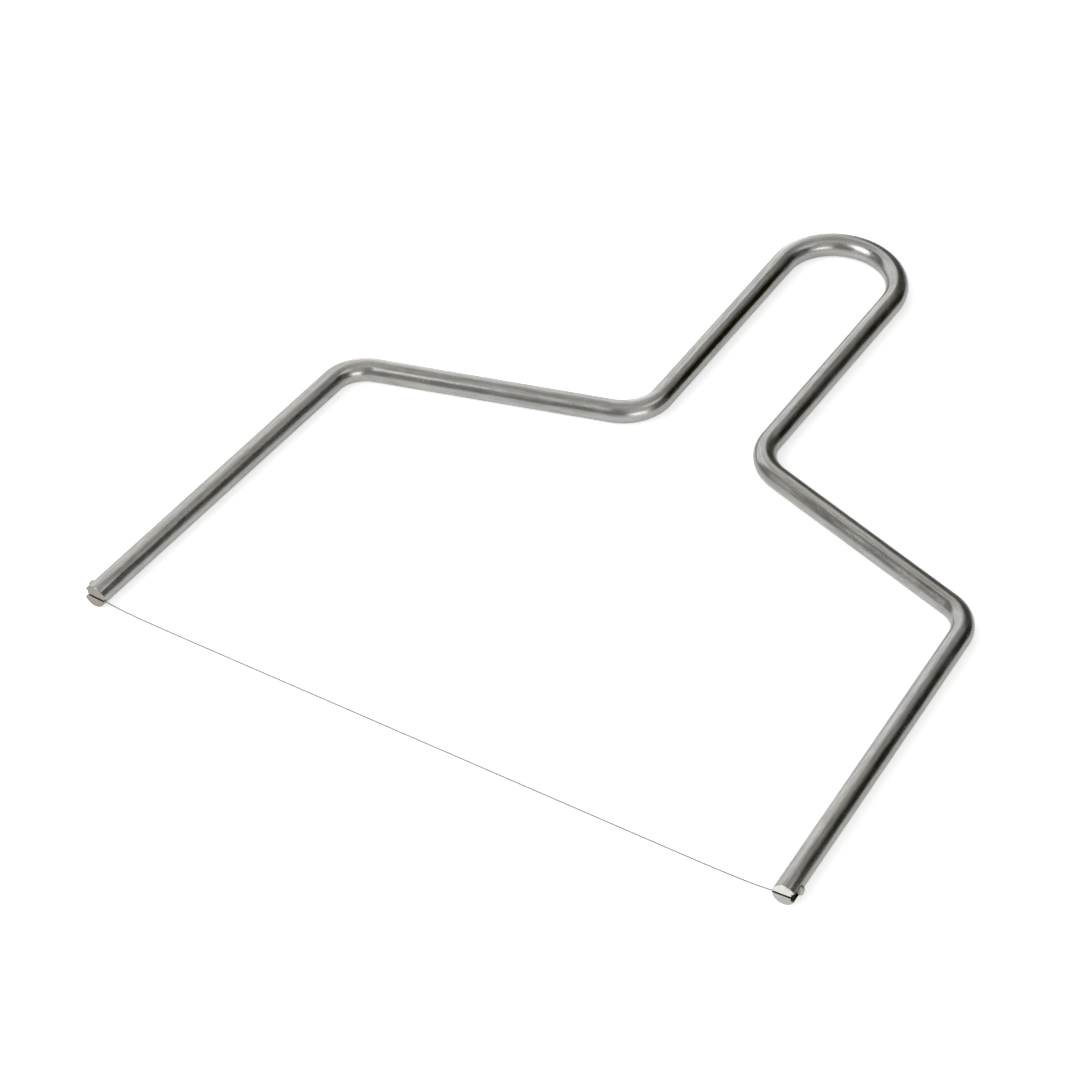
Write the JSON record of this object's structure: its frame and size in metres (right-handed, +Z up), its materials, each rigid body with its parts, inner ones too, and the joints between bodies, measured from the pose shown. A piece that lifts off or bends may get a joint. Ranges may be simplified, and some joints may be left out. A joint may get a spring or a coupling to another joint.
{
  "type": "cheese bow cutter",
  "caption": "Hand-held bow bent from steel rod, with a loop handle, that holds a thin wire between two slotted tips to cut cheese.",
  "frame": {"origin": "middle of the outline, on the plane that the bow lies on", "axes": "+Y from the wire to the handle's loop, +X along the wire to the right arm as seen from above with the handle away from the viewer, +Z up from the resting plane"},
  "size_m": [0.2644, 0.296, 0.008],
  "materials": {
    "rod_steel": "drawn stainless steel rod, polished, with fine lines along the rod",
    "wire_steel": "hard drawn stainless steel wire, satin",
    "ball_steel": "flat-pressed steel ball, satin"
  },
  "bodies": {
    "bow": {"bow_frame": "rod_steel"},
    "wire_set": {"cutting_wire": "wire_steel", "wire_ball_left": "ball_steel", "wire_ball_right": "ball_steel"}
  },
  "joints": [
    {"name": "wire_release", "type": "slide", "parent": "bow", "child": "wire_set", "axis": [0, -1, 0], "range_m": [0, 0.012]}
  ]
}
